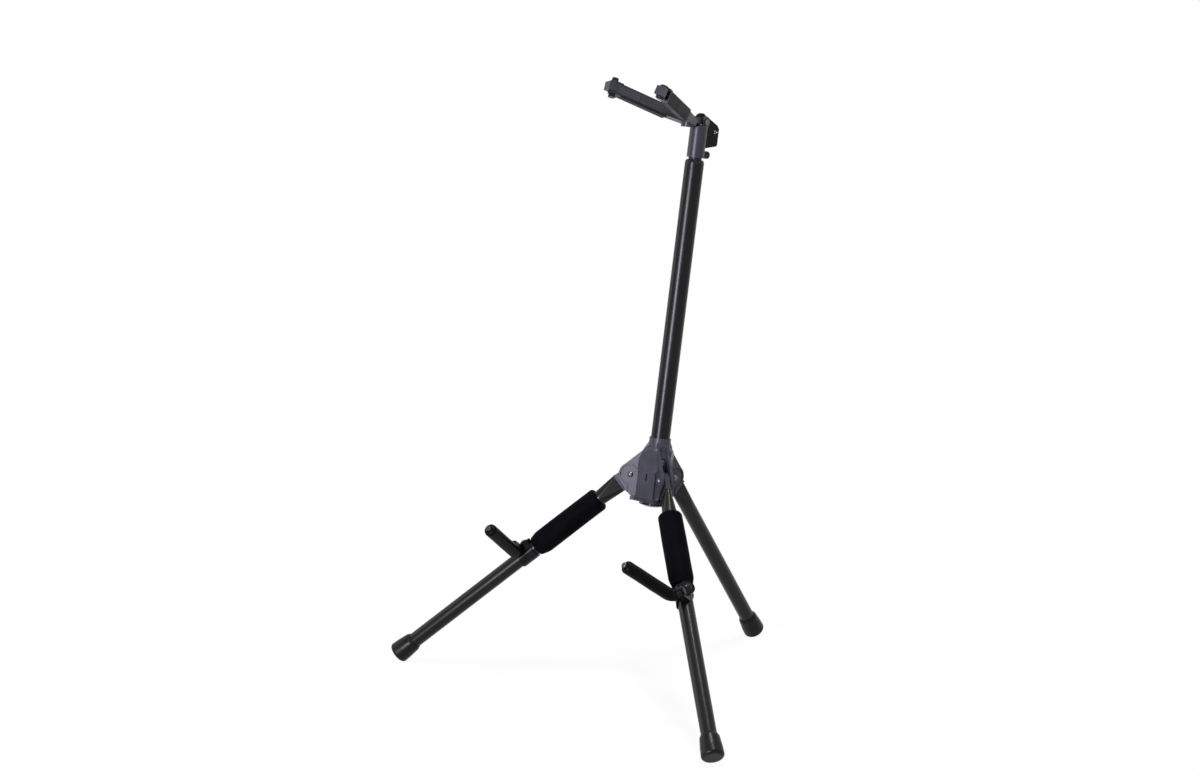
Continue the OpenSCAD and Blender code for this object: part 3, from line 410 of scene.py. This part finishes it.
for hand in ("right", "left"):
    PAINT["clamp_" + hand] = clamp_nylon
    PAINT["clamp_bolt_" + hand] = bolt_black
    PAINT["hook_cap_" + hand] = clamp_nylon
    PAINT["hook_rod_" + hand] = rod_bronze
for name, paint in PAINT.items():
    ob = nodes[name]
    ob.data.materials.clear()
    ob.data.materials.append(paint)
    for poly in ob.data.polygons:
        poly.material_index = 0

# Modelled soft pieces, in millimetres of the frames above


def add_mesh(name, verts, faces, material, body):
    """A smooth piece that rides on a body. Faces of more than four corners are cut up."""
    mesh = bpy.data.meshes.new(name)
    mesh.from_pydata([tuple(v) for v in verts], [], faces)
    bm = bmesh.new()
    bm.from_mesh(mesh)
    bmesh.ops.triangulate(bm, faces=[f for f in bm.faces if len(f.verts) > 4])
    bmesh.ops.recalc_face_normals(bm, faces=bm.faces)
    bm.to_mesh(mesh)
    bm.free()
    for poly in mesh.polygons:
        poly.use_smooth = True
    mesh.materials.append(material)
    ob = bpy.data.objects.new(name, mesh)
    bpy.context.scene.collection.objects.link(ob)
    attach(ob, body)
    return ob


def arc(cx, cy, radius, start, end, steps):
    """Points on an arc round (cx, cy), with its angles in degrees."""
    out = []
    for i in range(steps + 1):
        a = math.radians(start + (end - start) * i / steps)
        out.append((cx + radius * math.cos(a), cy + radius * math.sin(a)))
    return out


def ramp(a, b, steps):
    """Points on a line from a to b, without its ends."""
    return [(a[0] + (b[0] - a[0]) * i / steps, a[1] + (b[1] - a[1]) * i / steps)
            for i in range(1, steps)]


def skin(rows, around, closed=True):
    """Quads between rows of points that each go once round, the last row joined to the first."""
    faces = []
    for j in range(rows if closed else rows - 1):
        k = (j + 1) % rows
        for i in range(around):
            h = (i + 1) % around
            faces.append((j * around + i, j * around + h, k * around + h, k * around + i))
    return faces


# Foam sleeves on the front legs

FOAM_START, FOAM_LENGTH, FOAM_AROUND = 61, 121, 96
FOAM_RADIUS, FOAM_BORE = 17.9, 11.25
# Inside this radius the foam stays round
FOAM_FIRM = 12.5
LUMPS, LUMP_HEIGHT = 9, 0.09
PINCH_LENGTH, PINCH_DEPTH, PINCH_FOLDS = 16, 0.35, 7
# Radius of the narrowing end, and how far before the end
FOAM_TAPER = [
    (FOAM_RADIUS, 15), (17.75, 13), (17.45, 11), (17.05, 9), (16.55, 7), (16.1, 5.2), (15.75, 3.6),
    (15.3, 2), (14.6, 0.8), (13.6, 0.15), (12.4, 0.3), (11.4, 1.2),
]


def make_foam(leg, phase):
    """Foam sleeve: a closed outline of (radius, height) turned about the leg, softly lumpy."""
    start, end = FOAM_START, FOAM_START + FOAM_LENGTH
    rnd = random.Random(phase)
    waves = [(rnd.randint(1, 4), rnd.uniform(0, 6.28),
              rnd.uniform(0.02, 0.09), rnd.uniform(0, 6.28)) for _ in range(LUMPS)]

    def wobble(a, z, r):
        if r < FOAM_FIRM:
            return 0
        lump = sum(math.sin(k * a + p) * math.sin(f * z + q) for k, p, f, q in waves) * LUMP_HEIGHT
        pinch = max(0.0, 1 - (end - z) / PINCH_LENGTH) if z > end - PINCH_LENGTH else 0
        return lump - PINCH_DEPTH * pinch * (1 + math.sin(PINCH_FOLDS * a + phase))

    outline = [(11.4, start + 1.2), (12.2, start + 0.2)] + arc(13.6, start + 4.1, 4.2, -90, 0, 8)
    outline += ramp((17.8, start + 4.1), (FOAM_RADIUS, end - 15), 26)
    outline += [(r, end - before) for r, before in FOAM_TAPER]
    outline += ramp((FOAM_BORE, end - 1.2), (FOAM_BORE, start + 1.2), 8)
    verts = []
    for r, z in outline:
        for i in range(FOAM_AROUND):
            a = 2 * math.pi * i / FOAM_AROUND
            rr = r + wobble(a, z, r)
            spot = Vector((rr * math.cos(a) * MM, rr * math.sin(a) * MM, z * MM))
            verts.append(LEG[leg] @ spot)
    faces = skin(len(outline), FOAM_AROUND)
    ob = add_mesh("foam_sleeve_" + leg, verts, faces, foam_skin("foam_" + leg), "leg_" + leg)
    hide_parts("foam_" + leg)


make_foam("front_right", 3)
make_foam("front_left", 8)

# Rubbers on the hooks

BEND_RADIUS, BEND_LOW, BEND_ANGLE = 12.0, -3.031, 80.9
BEND_LENGTH = math.radians(BEND_ANGLE) * BEND_RADIUS
HOOK_REACH, HOOK_TIP, HOOK_AROUND = 97, 10.23, 72
SLEEVE_BORE = 4.1
# Inside this radius the rubber stays round
SLEEVE_FIRM = 5
CREASE_PLACE, CREASE_DEPTH = 9, 0.35


def hook_path(s):
    """Point and direction at s along the rubber, in the hook's frame: a bend, then straight."""
    r = BEND_RADIUS
    a = math.radians(180 - BEND_ANGLE * min(s / BEND_LENGTH, 1.0))
    point = Vector((r + r * math.cos(a), BEND_LOW + r * math.sin(a), 0))
    way = Vector((math.sin(a), -math.cos(a), 0))
    if s > BEND_LENGTH:
        point += way * (s - BEND_LENGTH)
    return point, way


def make_hook_rubber(hand):
    """Rubber tube over the hook's bend and straight part, with rolled ends and faint creases."""
    total = BEND_LENGTH + HOOK_REACH - HOOK_TIP
    outline = [(SLEEVE_BORE, 0.9), (5.4, 0.3), (7.4, 0.25)] + arc(7.6, 2.1, 1.85, -90, 0, 6)
    outline += ramp((9.45, 2.1), (9.5, total - 6), 44)
    outline += arc(3.9, total - 5.8, 5.6, 0, 86, 12) + [(4.15, total - 0.4)]
    outline += ramp((SLEEVE_BORE, total - 0.4), (SLEEVE_BORE, 0.9), 8)
    verts = []
    for r, s in outline:
        point, way = hook_path(s)
        out = Vector((way.y, -way.x, 0))
        for i in range(HOOK_AROUND):
            a = 2 * math.pi * i / HOOK_AROUND
            rr = r
            if r > SLEEVE_FIRM:
                crease = max(0.0, -math.cos(a)) * max(0.0, 1 - abs(s - CREASE_PLACE) / CREASE_PLACE)
                rr += 0.08 * math.sin(0.11 * s + a) + 0.04 * math.sin(3 * a + 0.3 * s) - 0.1
                rr -= CREASE_DEPTH * crease * max(0.0, math.sin(1.15 * s)) ** 3
            flat = out * (rr * math.cos(a))
            spot = point + Vector((flat.x, flat.y, rr * math.sin(a)))
            verts.append(HOOK[hand] @ (spot * MM))
    faces = skin(len(outline), HOOK_AROUND)
    ob = add_mesh("hook_sleeve_" + hand, verts, faces, hook_rubber, "hook_" + hand)
    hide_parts("hook_rubber_" + hand)


for hand in HOOK:
    make_hook_rubber(hand)

# Pads on the yoke's arms

PAD_WIDTH, PAD_HEIGHT, PAD_ROUND, PAD_CHAMFER = 14.8, 18.6, 3.2, 0.5
CORE_WIDTH, CORE_HEIGHT = 12.5, 13.8
# The ends draw in over PAD_END, by a share of the pad's half height
PAD_END, PAD_END_INSET, PAD_HALF = 1.2, 0.6, 9
SHARP_ANGLE = 50


def pad_section(steps=6):
    """A rounded bar, with the core's room left open on the inner face."""
    w, h, r = PAD_WIDTH / 2, PAD_HEIGHT / 2, PAD_ROUND
    core, inner = CORE_HEIGHT / 2, CORE_WIDTH - w
    points = [(-w + PAD_CHAMFER, core), (-w, core + PAD_CHAMFER)]
    points += arc(-w + r, h - r, r, 180, 90, steps)
    points += arc(w - r, h - r, r, 90, 0, steps)
    points += arc(w - r, -h + r, r, 0, -90, steps)
    points += arc(-w + r, -h + r, r, -90, -180, steps)
    points += [(-w, -core - PAD_CHAMFER), (-w + PAD_CHAMFER, -core), (inner, -core), (inner, core)]
    return points


def make_pad(hand):
    """Rubber pad on a yoke arm, with softened ends."""
    section = pad_section()
    stations = [0, 0.4, PAD_END] + [2 + 4 * i for i in range(20)]
    stations += [PAD_LENGTH - PAD_END, PAD_LENGTH - 0.4, PAD_LENGTH]
    verts = []
    for s in stations:
        near = min(s, PAD_LENGTH - s)
        inset = PAD_END_INSET * (1 - near / PAD_END) ** 2 if near < PAD_END else 0.0
        f = 1 - inset / PAD_HALF
        for x, y in section:
            verts.append(ARM[hand] @ Vector(((PAD_START + s) * MM, x * f * MM, y * f * MM)))
    n = len(section)
    faces = skin(len(stations), n, closed=False)
    faces.append(tuple(reversed(range(n))))
    faces.append(tuple(range((len(stations) - 1) * n, len(stations) * n)))
    ob = add_mesh("arm_pad_" + hand, verts, faces, arm_rubber, "fork")
    ob.modifiers.new("sharp", "EDGE_SPLIT").split_angle = math.radians(SHARP_ANGLE)
    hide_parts("arm_rubber_" + hand)


for hand in ARM:
    make_pad(hand)

# Floor, world and lights, in metres

FLOOR_REACH = 30
# Seen directly, the floor keeps a little of the stand's shadow near it and is white further out
SHADOW_NEAR, SHADOW_FAR, WHITE_NEAR = 0.25, 0.7, 0.93
WORLD_COLOR, WORLD_LIGHT = rgb(0.88, 0.92, 1.0), 0.22
WHITE = rgb(1, 1, 1)
STAND_MIDDLE = Vector((0, -0.02, 0.42))


def add_floor():
    r = FLOOR_REACH
    mesh = bpy.data.meshes.new("floor")
    mesh.from_pydata([(-r, -r, 0), (r, -r, 0), (r, r, 0), (-r, r, 0)], [], [(0, 1, 2, 3)])
    g = Finish("floor_white")
    paper = g.done(rgb(0.9, 0.9, 0.9), 0.9, Specular_IOR_Level=0.0)
    white = g.node("Emission", None, {"Color": WHITE, "Strength": 1.0})
    x, y, _ = g.split(g.place())
    away = g.math("SQRT", x * x + y * y)
    plain = g.clamp(g.spread(away, SHADOW_NEAR, SHADOW_FAR, WHITE_NEAR, 1.0))
    lit = Wire(g, g.shader.outputs[0])
    shown = g.node("MixShader", None, {0: g.looked_at() * plain, 1: lit, 2: white})
    g.plug(shown, g.out.inputs["Surface"])
    mesh.materials.append(paper)
    floor = bpy.data.objects.new("floor", mesh)
    bpy.context.scene.collection.objects.link(floor)


def add_world():
    world = bpy.data.worlds.new("studio")
    world.use_nodes = True
    bpy.context.scene.world = world
    g = Graph(world.node_tree, "OutputWorld")
    soft = g.node("Background", None, {0: WORLD_COLOR, 1: WORLD_LIGHT})
    bright = g.node("Background", None, {0: WHITE, 1: 1.0})
    shown = g.node("MixShader", None, {0: g.looked_at(), 1: soft, 2: bright})
    g.plug(shown, g.out.inputs["Surface"])


def softbox(name, azimuth, elevation, distance, width, height, power, color):
    """Area light that faces the middle of the stand, in metres and watts."""
    way = toward(azimuth, elevation)
    light = bpy.data.lights.new(name, "AREA")
    light.shape = "RECTANGLE"
    light.size, light.size_y = width, height
    light.energy = power
    light.color = color
    ob = bpy.data.objects.new(name, light)
    facing = way.to_track_quat("Z", "Y").to_matrix().to_4x4()
    ob.matrix_world = Matrix.Translation(STAND_MIDDLE + way * distance) @ facing
    bpy.context.scene.collection.objects.link(ob)


add_floor()
add_world()
softbox("key", azimuth=12, elevation=9, distance=2.6, width=0.55, height=0.8,
        power=80, color=(0.88, 0.85, 1.0))
softbox("top", azimuth=90, elevation=86, distance=2.4, width=0.35, height=0.8,
        power=54, color=(1, 0.99, 0.97))
softbox("fill_left", azimuth=-62, elevation=12, distance=3.0, width=1.2, height=1.6,
        power=9, color=(0.93, 0.96, 1.0))

bpy.context.scene.view_settings.view_transform = "Standard"

bpy.context.view_layer.update()
